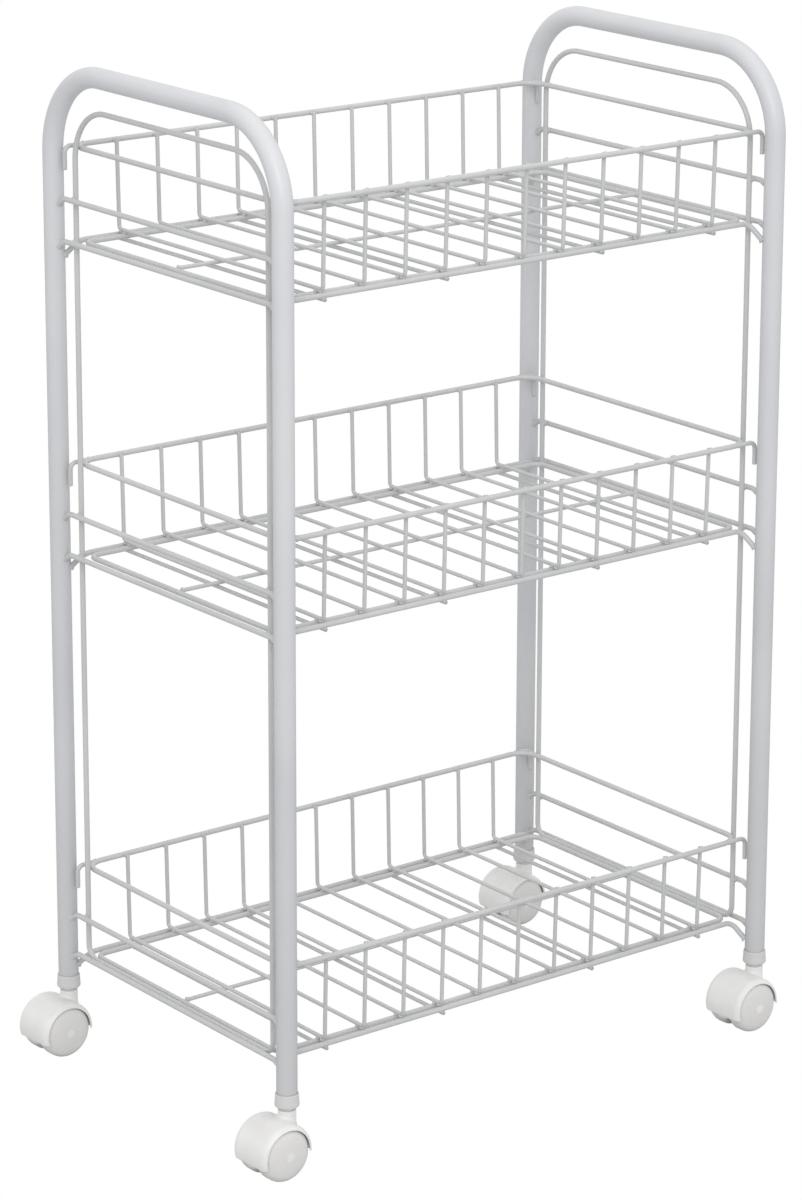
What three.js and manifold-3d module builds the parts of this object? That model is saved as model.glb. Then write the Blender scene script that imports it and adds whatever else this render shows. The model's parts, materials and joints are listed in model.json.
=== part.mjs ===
// Rolling utility cart: two bent-tube end frames carry three welded wire baskets,
// and a twin-wheel caster swivels under each of the four tube feet.
// Millimetres, +Z up, X along the length, Y across the depth, floor at Z = 0.

import * as THREE from "three";
import { mergeVertices } from "three/addons/utils/BufferGeometryUtils.js";
import Module from "manifold-3d";

// ---- Driving dimensions -------------------------------------------------

// End frames: centre lines of the bent tubes and of the wire loops inside them.
const TUBE_X = 220;
const TUBE_Y = 138;
const HANDLE_Z = 744.5;
const HANDLE_BEND = 60;
const TUBE_RADIUS = 7.5;
const TUBE_BORE_RADIUS = 6.3;
const LOOP_Y = 116;
const LOOP_TOP_Z = 718.3;
const LOOP_TOP_BEND = 38;
const LOOP_FOOT_BEND = 10;

// Wire gauges.
const HEAVY_WIRE = 2;
const HOOK_WIRE = 1.7;
const LIGHT_WIRE = 1.5;

// Gap left between neighbouring pieces that touch.
const CONTACT_GAP = 0.3;

// Baskets: height of the bottom rails of each one, and the shape they share.
const BASKET_LEVELS = { top: 620.5, middle: 388, bottom: 78.5 };
const BASKET_DEPTH = 68;
const RIM_X = 211.4;
const RIM_Y = 127.6;
const RIM_CORNER = 16;
const FLOOR_X = 210.8;
const FLOOR_Y = 114.5;
const FLOOR_CORNER = 9;
const RAIL_Y = 122.3;
const WIRE_COUNT = 11;
const WIRE_PITCH = 35;
const WIRE_FOOT_Y = 122;
const WIRE_BEND = 3;
const WIRE_ABOVE_RIM = 1.2;
const WELD_BITE = 0.7;
const CROSS_BAR_SLOTS = [-5, -2, 2, 5];
const CROSS_BAR_OVERHANG = 2.6;
const GUARD_ABOVE_RAIL = 31;

// Corner hooks of a basket: the leg beside the tube and the brace below the floor.
const HOOK_START_X = 186;
const HOOK_X = 217;
const HOOK_BEND = 5;
const HOOK_DROP = 17;
const BRACE_KNEE_X = 209.5;
const BRACE_TIP_X = 213.4;
const BRACE_TIP_Y = 130.6;
const BRACE_DROP = 9;
const BRACE_BEND = 8;

// Rungs of an end frame, with their ends bent down to the tubes.
const RUNG_END_DROP = 3;
const RUNG_END_RUN = 6;
const RUNG_END_CLEARANCE = 1.2;
const RUNG_BEND = 4;

// Casters, measured from the floor and from the swivel axis.
const WHEEL_RADIUS = 20;
const WHEEL_SIDES = 18;
const WHEEL_INNER_Y = 4.6;
const WHEEL_OUTER_Y = 20.3;
const WHEEL_INNER_BEVEL = 2;
const WHEEL_INNER_BEVEL_WIDTH = 2.4;
const WHEEL_SHOULDER_WIDTH = 6;
const WHEEL_SHOULDER_DROP = 2;
const WHEEL_DOME_WIDTH = 2.4;
const WHEEL_FACE_INSET = 6.5;
const WHEEL_FACE_RISE = 0.6;
const HUB_BORE_RADIUS = 2.7;
const HUB_BORE_END_Y = 16;
const AXLE_RADIUS = 2.4;
const CASTER_TRAIL = 12.5;
const CASTER_TURN = THREE.MathUtils.degToRad(2);
const HOOD_OUTER_RADIUS = 22.2;
const HOOD_INNER_RADIUS = 20.9;
const HOOD_HALF_WIDTH = 19;
const HOOD_EDGE_Z = 16;
const HOOD_EDGE_TILT = THREE.MathUtils.degToRad(7);
const HOOD_BEVEL = 1.2;
const HOOD_BEVEL_WIDTH = 4;
const WEB_HALF_WIDTH = 3.6;
const WEB_FOOT_Z = 11;
const NECK_RADIUS = 6.5;
const NECK_FOOT_Z = 28;
const SOCKET_FOOT_Z = 49;
const STEM_RADIUS = 3;
const STEM_FOOT_Z = 41.8;
const STEM_TOP_Z = 73;
const STEM_HOLE_RADIUS = 3.3;

// Stem sockets: a plug inside the tube and a bell-shaped skirt round it.
const SOCKET_PLUG_RADIUS = 5.9;
const SOCKET_PLUG_TOP_Z = 75;
const SOCKET_FLANGE = 2;
const SOCKET_SKIRT_RADIUS = 8.8;
const SOCKET_SKIRT_BORE = 7.9;
const SOCKET_SKIRT_TOP_Z = 59;
const SOCKET_SKIRT_TAPER = 0.3;
const SOCKET_LIP_HEIGHT = 1;
const SOCKET_FOOT_BEVEL = 0.8;
const SOCKET_FOOT_BEVEL_HEIGHT = 1.2;

// How finely round shapes are divided.
const SMALL_BEND_STEPS = 2;
const RING_BEND_STEPS = 4;
const HANDLE_BEND_STEPS = 8;
const WIRE_SECTION = 3;
const TUBE_SECTION = 6;
const TURNED_SIDES = 16;
const PIN_SIDES = 12;

// Slack for rounding: corners this close are one corner, and a place this short of a station is on it.
const SAME_CORNER = 1e-4;
const SAME_PLACE = 1e-6;

// ---- Materials ----------------------------------------------------------

const powderCoat = { color: 0xe2e4e7, roughness: 0.42, metalness: 0.0 };
const casterPlastic = { color: 0xdedcd7, roughness: 0.5, metalness: 0.0 };
const plainSteel = { color: 0xb9bcc0, roughness: 0.3, metalness: 1.0 };

// ---- Joining and cutting ------------------------------------------------

const wasm = await Module();
wasm.setup();

function toSolid(geometry) {
  const bare = geometry.clone();
  bare.deleteAttribute("normal");
  bare.deleteAttribute("uv");
  const merged = mergeVertices(bare, SAME_CORNER);
  return new wasm.Manifold(
    new wasm.Mesh({
      numProp: 3,
      vertProperties: merged.attributes.position.array,
      triVerts: merged.index.array,
    }),
  );
}

function toGeometry(solid) {
  const mesh = solid.getMesh();
  const geometry = new THREE.BufferGeometry();
  geometry.setAttribute("position", new THREE.BufferAttribute(mesh.vertProperties, 3));
  geometry.setIndex(new THREE.BufferAttribute(mesh.triVerts, 1));
  geometry.computeVertexNormals();
  return geometry;
}

function join(geometries) {
  const solids = geometries.map(toSolid);
  return toGeometry(solids.reduce((whole, solid) => whole.add(solid)));
}

function cut(geometry, cutters) {
  const solids = cutters.map(toSolid);
  return toGeometry(solids.reduce((whole, solid) => whole.subtract(solid), toSolid(geometry)));
}

// ---- Wires and tubes ----------------------------------------------------

const point = (x, y, z) => new THREE.Vector3(x, y, z);

// A path through fixed stations, so that a swept section turns only where the wire does.
class StationPath extends THREE.Curve {
  constructor(stations, closed = false) {
    super();
    this.stations = stations;
    this.closed = closed;
    this.spans = closed ? stations.length : stations.length - 1;
  }

  station(index) {
    const count = this.stations.length;
    if (this.closed) return this.stations[(index + count) % count];
    return this.stations[THREE.MathUtils.clamp(index, 0, count - 1)];
  }

  getPoint(t, target = point(0, 0, 0)) {
    const place = t * this.spans;
    const index = Math.min(Math.floor(place + SAME_PLACE), this.spans - 1);
    return target.lerpVectors(this.station(index), this.station(index + 1), place - index);
  }

  getPointAt(u, target) {
    return this.getPoint(u, target);
  }

  getTangent(t, target = point(0, 0, 0)) {
    const index = Math.round(t * this.spans);
    const here = this.station(index);
    const ahead = this.station(index + 1).clone().sub(here).normalize();
    const behind = here.clone().sub(this.station(index - 1)).normalize();
    return target.copy(ahead).add(behind).normalize();
  }

  getTangentAt(u, target) {
    return this.getTangent(u, target);
  }
}

// Stations of a wire that bends at each corner; each corner is [point, bend radius].
function bentStations(corners, steps, closed = false) {
  const count = corners.length;
  const stations = [];
  corners.forEach(([corner, bend], index) => {
    const isEnd = !closed && (index === 0 || index === count - 1);
    if (isEnd) {
      stations.push(corner);
      return;
    }
    const back = corners[(index + count - 1) % count][0].clone().sub(corner).normalize();
    const ahead = corners[(index + 1) % count][0].clone().sub(corner).normalize();
    const halfAngle = back.angleTo(ahead) / 2;
    const inward = back.clone().add(ahead).normalize();
    const centre = corner.clone().addScaledVector(inward, bend / Math.sin(halfAngle));
    const start = corner.clone().addScaledVector(back, bend / Math.tan(halfAngle));
    const spoke = start.clone().sub(centre);
    const axis = ahead.clone().cross(back).normalize();
    const sweep = Math.PI - 2 * halfAngle;
    for (let step = 0; step <= steps; step += 1) {
      const angle = (sweep * step) / steps;
      stations.push(spoke.clone().applyAxisAngle(axis, angle).add(centre));
    }
  });
  return stations;
}

function roundShape(radius) {
  return new THREE.Shape().absarc(0, 0, radius, 0, Math.PI * 2);
}

function sweep(shape, corners, curveSegments, steps) {
  const stations = bentStations(corners, steps);
  return new THREE.ExtrudeGeometry(shape, {
    steps: stations.length - 1,
    curveSegments,
    extrudePath: new StationPath(stations),
  });
}

function bentWire(corners, radius) {
  return sweep(roundShape(radius), corners, WIRE_SECTION, SMALL_BEND_STEPS);
}

function wireRing(corners, radius) {
  const stations = bentStations(corners, RING_BEND_STEPS, true);
  const path = new StationPath(stations, true);
  return new THREE.TubeGeometry(path, stations.length, radius, 2 * WIRE_SECTION, true);
}

// Corners of a level ring with rounded corners.
function levelRing(halfX, halfY, z, bend) {
  return [
    [point(halfX, -halfY, z), bend],
    [point(halfX, halfY, z), bend],
    [point(-halfX, halfY, z), bend],
    [point(-halfX, -halfY, z), bend],
  ];
}

// ---- End frames ---------------------------------------------------------

const socketFloorZ = SOCKET_FOOT_Z + SOCKET_FLANGE;
const tubeFootZ = socketFloorZ + CONTACT_GAP;
const loopX = TUBE_X - 2 * HEAVY_WIRE - CONTACT_GAP;

function endTube(side) {
  const wall = roundShape(TUBE_RADIUS);
  wall.holes.push(new THREE.Path().absarc(0, 0, TUBE_BORE_RADIUS, 0, Math.PI * 2, true));
  const corners = [
    [point(side * TUBE_X, -TUBE_Y, tubeFootZ), 0],
    [point(side * TUBE_X, -TUBE_Y, HANDLE_Z), HANDLE_BEND],
    [point(side * TUBE_X, TUBE_Y, HANDLE_Z), HANDLE_BEND],
    [point(side * TUBE_X, TUBE_Y, tubeFootZ), 0],
  ];
  return sweep(wall, corners, TUBE_SECTION, HANDLE_BEND_STEPS);
}

function wireLoop(side) {
  const x = side * loopX;
  const corners = [
    [point(x, -LOOP_Y, LOOP_TOP_Z), LOOP_TOP_BEND],
    [point(x, LOOP_Y, LOOP_TOP_Z), LOOP_TOP_BEND],
    [point(x, LOOP_Y, BASKET_LEVELS.bottom), LOOP_FOOT_BEND],
    [point(x, -LOOP_Y, BASKET_LEVELS.bottom), LOOP_FOOT_BEND],
  ];
  return wireRing(corners, HEAVY_WIRE);
}

function rung(side, z) {
  const x = side * TUBE_X;
  const endY = TUBE_Y - TUBE_RADIUS - RUNG_END_CLEARANCE;
  const bendY = endY - RUNG_END_RUN;
  const corners = [
    [point(x, -endY, z - RUNG_END_DROP), 0],
    [point(x, -bendY, z), RUNG_BEND],
    [point(x, bendY, z), RUNG_BEND],
    [point(x, endY, z - RUNG_END_DROP), 0],
  ];
  return bentWire(corners, HEAVY_WIRE);
}

function stemSocket() {
  const profile = [
    [STEM_HOLE_RADIUS, SOCKET_FOOT_Z],
    [SOCKET_SKIRT_RADIUS - SOCKET_FOOT_BEVEL, SOCKET_FOOT_Z],
    [SOCKET_SKIRT_RADIUS, SOCKET_FOOT_Z + SOCKET_FOOT_BEVEL_HEIGHT],
    [SOCKET_SKIRT_RADIUS - SOCKET_SKIRT_TAPER, SOCKET_SKIRT_TOP_Z - SOCKET_LIP_HEIGHT],
    [SOCKET_SKIRT_BORE, SOCKET_SKIRT_TOP_Z],
    [SOCKET_SKIRT_BORE, socketFloorZ],
    [SOCKET_PLUG_RADIUS, socketFloorZ],
    [SOCKET_PLUG_RADIUS, SOCKET_PLUG_TOP_Z],
    [STEM_HOLE_RADIUS, SOCKET_PLUG_TOP_Z],
  ];
  return standUp(turned(profile, TURNED_SIDES));
}

// ---- Turned pieces ------------------------------------------------------

// Turns a closed [radius, height] outline round the local Y axis.
function turned(profile, sides) {
  const outline = [...profile, profile[0]].map(([radius, height]) => new THREE.Vector2(radius, height));
  return new THREE.LatheGeometry(outline, sides);
}

// Tips a piece whose axis is local Y so that its axis is Z.
function standUp(geometry) {
  return geometry.rotateX(Math.PI / 2);
}

// ---- Baskets ------------------------------------------------------------

// Rim ring with a hook at each corner; each hook leg hangs down beside a tube.
function basketRim(railZ) {
  const z = railZ + BASKET_DEPTH;
  const pieces = [wireRing(levelRing(RIM_X, RIM_Y, z, RIM_CORNER), HEAVY_WIRE)];
  for (const side of [-1, 1]) {
    for (const face of [-1, 1]) {
      const y = face * RIM_Y;
      const corners = [
        [point(side * HOOK_START_X, y, z), 0],
        [point(side * HOOK_X, y, z), HOOK_BEND],
        [point(side * HOOK_X, y, z - HOOK_DROP), 0],
      ];
      pieces.push(bentWire(corners, HOOK_WIRE));
    }
  }
  return join(pieces);
}

// Floor ring, the two long rails outside it with their corner braces, and the cross bars below.
function basketFloorFrame(railZ) {
  const pieces = [wireRing(levelRing(FLOOR_X, FLOOR_Y, railZ, FLOOR_CORNER), HEAVY_WIRE)];
  for (const face of [-1, 1]) {
    const corners = [
      [point(-BRACE_TIP_X, face * BRACE_TIP_Y, railZ - BRACE_DROP), 0],
      [point(-BRACE_KNEE_X, face * RAIL_Y, railZ), BRACE_BEND],
      [point(BRACE_KNEE_X, face * RAIL_Y, railZ), BRACE_BEND],
      [point(BRACE_TIP_X, face * BRACE_TIP_Y, railZ - BRACE_DROP), 0],
    ];
    pieces.push(bentWire(corners, HEAVY_WIRE));
  }
  const barY = RAIL_Y + CROSS_BAR_OVERHANG;
  const barZ = railZ - HEAVY_WIRE - LIGHT_WIRE + WELD_BITE;
  for (const slot of CROSS_BAR_SLOTS) {
    const x = slot * WIRE_PITCH;
    const corners = [
      [point(x, -barY, barZ), 0],
      [point(x, barY, barZ), 0],
    ];
    pieces.push(bentWire(corners, LIGHT_WIRE));
  }
  return join(pieces);
}

// The U-shaped wires that make the long walls and the floor, and the runner that ties them.
function basketGrid(railZ) {
  const floorZ = railZ + HEAVY_WIRE + LIGHT_WIRE + CONTACT_GAP;
  const topZ = railZ + BASKET_DEPTH + WIRE_ABOVE_RIM;
  const topY = RIM_Y - HEAVY_WIRE - LIGHT_WIRE - CONTACT_GAP;
  const middleSlot = (WIRE_COUNT - 1) / 2;
  const pieces = [];
  for (let slot = -middleSlot; slot <= middleSlot; slot += 1) {
    const x = slot * WIRE_PITCH;
    const corners = [
      [point(x, -topY, topZ), 0],
      [point(x, -WIRE_FOOT_Y, floorZ), WIRE_BEND],
      [point(x, WIRE_FOOT_Y, floorZ), WIRE_BEND],
      [point(x, topY, topZ), 0],
    ];
    pieces.push(bentWire(corners, LIGHT_WIRE));
  }
  const runnerX = FLOOR_X - HEAVY_WIRE - 2 * CONTACT_GAP;
  const runnerZ = floorZ - 2 * LIGHT_WIRE + WELD_BITE;
  const runner = [
    [point(-runnerX, 0, runnerZ), 0],
    [point(runnerX, 0, runnerZ), 0],
  ];
  pieces.push(bentWire(runner, LIGHT_WIRE));
  return join(pieces);
}

// ---- Casters ------------------------------------------------------------

// A caster is built with its swivel axis on Z and its axle along Y, trailing towards -X.
function onAxle(geometry) {
  return geometry.translate(-CASTER_TRAIL, 0, WHEEL_RADIUS);
}

function casterHousing() {
  const hood = turned(
    [
      [HOOD_INNER_RADIUS, -HOOD_HALF_WIDTH],
      [HOOD_OUTER_RADIUS - HOOD_BEVEL, -HOOD_HALF_WIDTH],
      [HOOD_OUTER_RADIUS, -HOOD_HALF_WIDTH + HOOD_BEVEL_WIDTH],
      [HOOD_OUTER_RADIUS, HOOD_HALF_WIDTH - HOOD_BEVEL_WIDTH],
      [HOOD_OUTER_RADIUS - HOOD_BEVEL, HOOD_HALF_WIDTH],
      [HOOD_INNER_RADIUS, HOOD_HALF_WIDTH],
    ],
    TURNED_SIDES,
  );
  const webRadius = (HOOD_INNER_RADIUS + HOOD_OUTER_RADIUS) / 2;
  const web = new THREE.CylinderGeometry(webRadius, webRadius, 2 * WEB_HALF_WIDTH, TURNED_SIDES);
  const neckHeight = SOCKET_FOOT_Z - CONTACT_GAP - NECK_FOOT_Z;
  const neck = standUp(new THREE.CylinderGeometry(NECK_RADIUS, NECK_RADIUS, neckHeight, TURNED_SIDES));
  neck.translate(0, 0, NECK_FOOT_Z + neckHeight / 2);
  const pocketWidth = 2 * HOOD_HALF_WIDTH;
  const pockets = [-1, 1].map((face) => {
    const pocket = new THREE.CylinderGeometry(
      HOOD_INNER_RADIUS,
      HOOD_INNER_RADIUS,
      pocketWidth,
      TURNED_SIDES,
    );
    return onAxle(pocket.translate(0, face * (WEB_HALF_WIDTH + pocketWidth / 2), 0));
  });
  const room = 4 * HOOD_OUTER_RADIUS;
  const below = () => new THREE.BoxGeometry(room, room, room).translate(0, 0, -room / 2);
  const belowHood = below().rotateY(-HOOD_EDGE_TILT).translate(-CASTER_TRAIL, 0, HOOD_EDGE_Z);
  const axleHole = onAxle(new THREE.CylinderGeometry(HUB_BORE_RADIUS, HUB_BORE_RADIUS, room, PIN_SIDES));
  const stemHole = standUp(new THREE.CylinderGeometry(STEM_HOLE_RADIUS, STEM_HOLE_RADIUS, room, PIN_SIDES));
  stemHole.translate(0, 0, STEM_FOOT_Z - CONTACT_GAP + room / 2);
  const halfHood = cut(onAxle(hood), [belowHood]);
  const footedWeb = cut(onAxle(web), [below().translate(0, 0, WEB_FOOT_Z)]);
  const fittedNeck = cut(neck, pockets);
  return cut(join([halfHood, footedWeb, fittedNeck]), [axleHole, stemHole]);
}

// Wheel on the +Y side, with a blind bore for the axle and a domed outer face.
function casterWheel(face) {
  const rim = WHEEL_RADIUS / Math.cos(Math.PI / WHEEL_SIDES);
  const profile = [
    [0, HUB_BORE_END_Y],
    [HUB_BORE_RADIUS, HUB_BORE_END_Y],
    [HUB_BORE_RADIUS, WHEEL_INNER_Y],
    [rim - WHEEL_INNER_BEVEL, WHEEL_INNER_Y],
    [rim, WHEEL_INNER_Y + WHEEL_INNER_BEVEL_WIDTH],
    [rim, WHEEL_OUTER_Y - WHEEL_SHOULDER_WIDTH],
    [rim - WHEEL_SHOULDER_DROP, WHEEL_OUTER_Y - WHEEL_DOME_WIDTH],
    [rim - WHEEL_FACE_INSET, WHEEL_OUTER_Y - WHEEL_FACE_RISE],
    [0, WHEEL_OUTER_Y],
  ];
  const outline = profile.map(([radius, height]) => new THREE.Vector2(radius, height));
  const wheel = new THREE.LatheGeometry(outline, WHEEL_SIDES);
  wheel.rotateY(Math.PI / WHEEL_SIDES);
  if (face < 0) wheel.rotateZ(Math.PI);
  return onAxle(wheel);
}

function casterAxle() {
  const length = 2 * (HUB_BORE_END_Y - CONTACT_GAP);
  return onAxle(new THREE.CylinderGeometry(AXLE_RADIUS, AXLE_RADIUS, length, PIN_SIDES));
}

function casterStem() {
  const length = STEM_TOP_Z - STEM_FOOT_Z;
  const stem = standUp(new THREE.CylinderGeometry(STEM_RADIUS, STEM_RADIUS, length, PIN_SIDES));
  return stem.translate(0, 0, STEM_FOOT_Z + length / 2);
}

// ---- Assembly -----------------------------------------------------------

const SIDES = [
  { name: "left", sign: -1 },
  { name: "right", sign: 1 },
];
const FACES = [
  { name: "front", sign: -1 },
  { name: "back", sign: 1 },
];

function named(name, geometry, look) {
  const mesh = new THREE.Mesh(geometry, new THREE.MeshStandardMaterial(look));
  mesh.name = name;
  return mesh;
}

function buildEndFrame({ name, sign }) {
  const frame = new THREE.Group();
  frame.add(named(`${name}_handle_tube`, endTube(sign), powderCoat));
  frame.add(named(`${name}_wire_loop`, wireLoop(sign), powderCoat));
  for (const [level, railZ] of Object.entries(BASKET_LEVELS)) {
    frame.add(named(`${name}_${level}_guard_rung`, rung(sign, railZ + GUARD_ABOVE_RAIL), powderCoat));
    frame.add(named(`${name}_${level}_floor_rung`, rung(sign, railZ), powderCoat));
  }
  return frame;
}

function buildBasket(level, railZ) {
  const basket = new THREE.Group();
  basket.add(named(`${level}_basket_rim`, basketRim(railZ), powderCoat));
  basket.add(named(`${level}_basket_grid`, basketGrid(railZ), powderCoat));
  basket.add(named(`${level}_basket_floor_frame`, basketFloorFrame(railZ), powderCoat));
  return basket;
}

function buildFoot(side, face) {
  const place = `${face.name}_${side.name}`;
  const foot = new THREE.Group();
  foot.position.set(side.sign * TUBE_X, face.sign * TUBE_Y, 0);
  foot.add(named(`${place}_stem_socket`, stemSocket(), casterPlastic));
  const caster = new THREE.Group();
  caster.rotation.z = CASTER_TURN;
  caster.add(named(`${place}_caster_housing`, casterHousing(), casterPlastic));
  caster.add(named(`${place}_caster_stem`, casterStem(), plainSteel));
  caster.add(named(`${place}_caster_axle`, casterAxle(), plainSteel));
  caster.add(named(`${place}_front_wheel`, casterWheel(-1), casterPlastic));
  caster.add(named(`${place}_back_wheel`, casterWheel(1), casterPlastic));
  foot.add(caster);
  return foot;
}

const cart = new THREE.Group();
for (const side of SIDES) {
  cart.add(buildEndFrame(side));
  for (const face of FACES) cart.add(buildFoot(side, face));
}
for (const [level, railZ] of Object.entries(BASKET_LEVELS)) cart.add(buildBasket(level, railZ));

// The trailing casters reach past the tubes on one side, so the whole is centred over the origin.
const middle = new THREE.Box3().setFromObject(cart, true).getCenter(point(0, 0, 0));
cart.position.set(-middle.x, -middle.y, 0);

export default cart;
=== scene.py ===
"""Rolling utility cart: two bent-tube end frames, three wire baskets, four twin-wheel casters.

Lengths are in metres with +Z up, X along the baskets and the floor at Z = 0. Sizes in the
classes are written as millimetres times MM.
"""
import json
import logging
import math
from collections.abc import Callable, Iterable, Sequence
from dataclasses import dataclass
from enum import Enum

import bmesh
import bpy
import numpy as np
from mathutils import Matrix, Vector


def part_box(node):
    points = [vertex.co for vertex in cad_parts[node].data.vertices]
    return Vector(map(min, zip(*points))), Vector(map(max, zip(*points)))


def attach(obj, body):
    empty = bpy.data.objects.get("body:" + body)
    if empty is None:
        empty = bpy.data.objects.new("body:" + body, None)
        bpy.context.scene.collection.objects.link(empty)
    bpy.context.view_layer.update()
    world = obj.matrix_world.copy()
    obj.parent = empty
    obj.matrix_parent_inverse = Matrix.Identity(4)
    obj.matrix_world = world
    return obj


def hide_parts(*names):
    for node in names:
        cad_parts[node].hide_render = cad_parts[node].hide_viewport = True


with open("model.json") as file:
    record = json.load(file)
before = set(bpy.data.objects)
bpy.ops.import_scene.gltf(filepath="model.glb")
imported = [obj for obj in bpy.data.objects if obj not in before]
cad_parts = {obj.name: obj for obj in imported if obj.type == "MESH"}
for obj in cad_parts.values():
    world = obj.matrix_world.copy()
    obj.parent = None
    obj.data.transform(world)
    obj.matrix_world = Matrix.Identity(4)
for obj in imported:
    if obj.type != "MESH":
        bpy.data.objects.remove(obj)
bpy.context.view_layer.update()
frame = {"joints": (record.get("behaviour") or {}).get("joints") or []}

MM = 0.001
UP = Vector((0.0, 0.0, 1.0))
ACROSS = Vector((0.0, 1.0, 0.0))
ALONG = Vector((1.0, 0.0, 0.0))
SIDES = {"left": -1.0, "right": 1.0}
FACES = {"front": -1.0, "back": 1.0}
LEVELS = ("top", "middle", "bottom")

log = logging.getLogger("cart")


class Slot(Enum):
    """Material slots of the record."""

    COAT = "powder_coated_steel"
    PLASTIC = "caster_plastic"
    STEEL = "steel"


class WireEnd(Enum):
    """How a wire stops.

    Each row is a station counted in from the end, in millimetres: its distance along the
    wire, its change of radius, and its edge and crevice marks.
    """

    CUT = ((0.0, -0.5, 1.0, 0.0), (0.14, -0.18, 1.0, 0.0), (0.5, 0.0, 0.7, 0.0), (1.4, 0.0, 0.0, 0.0))
    MELTED = (
        (0.0, 1.0, 0.0, 1.0),
        (0.5, 0.8, 0.0, 1.0),
        (1.1, 0.38, 0.0, 0.8),
        (1.8, 0.1, 0.0, 0.3),
        (2.6, 0.0, 0.0, 0.0),
    )


# ---- Bent wires, turned outlines and the meshes they make ----------------------------------


class BentPath:
    """Centre line of a bent wire, or the outline of a turned piece.

    Args:
        corners: Each corner and the radius of its bend.
        closed: Whether the last corner runs on to the first.
        step: Largest turn between neighbouring points, in radians.
    """

    def __init__(
        self,
        corners: Sequence[tuple[Vector, float]],
        closed: bool = False,
        step: float = math.radians(7.5),
    ) -> None:
        self.closed = closed
        self.points: list[Vector] = []
        self.bent: list[float] = []
        self.normal = Vector((0.0, 0.0, 0.0))
        count = len(corners)
        for index, (corner, bend) in enumerate(corners):
            if bend == 0.0:
                self.points.append(corner.copy())
                self.bent.append(0.0)
                continue
            back = (corners[index - 1][0] - corner).normalized()
            ahead = (corners[(index + 1) % count][0] - corner).normalized()
            self._bend(corner, bend, back, ahead, step)
        if self.normal.length == 0.0:
            direction = (self.points[1] - self.points[0]).normalized()
            self.normal = direction.orthogonal().normalized()

    def _bend(self, corner: Vector, bend: float, back: Vector, ahead: Vector, step: float) -> None:
        """Adds the arc that rounds one corner.

        Args:
            corner: The sharp corner.
            bend: Radius of the arc.
            back: Direction from the corner to the one before.
            ahead: Direction from the corner to the next one.
            step: Largest turn between neighbouring points, in radians.
        """
        half = back.angle(ahead) / 2
        centre = corner + (back + ahead).normalized() * (bend / math.sin(half))
        spoke = corner + back * (bend / math.tan(half)) - centre
        axis = ahead.cross(back).normalized()
        sweep = math.pi - 2 * half
        steps = max(2, math.ceil(sweep / step))
        for index in range(steps + 1):
            turn = Matrix.Rotation(sweep * index / steps, 3, axis)
            self.points.append(centre + turn @ spoke)
            self.bent.append(1.0)
        if self.normal.length == 0.0:
            self.normal = axis

    def directions(self) -> list[Vector]:
        """Returns the direction of travel at each point."""
        count = len(self.points)
        result = []
        for index, here in enumerate(self.points):
            behind = self.points[index - 1] if self.closed or index > 0 else None
            ahead = self.points[(index + 1) % count] if self.closed or index < count - 1 else None
            travel = Vector((0.0, 0.0, 0.0))
            if behind is not None:
                travel += (here - behind).normalized()
            if ahead is not None:
                travel += (ahead - here).normalized()
            result.append(travel.normalized())
        return result


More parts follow.
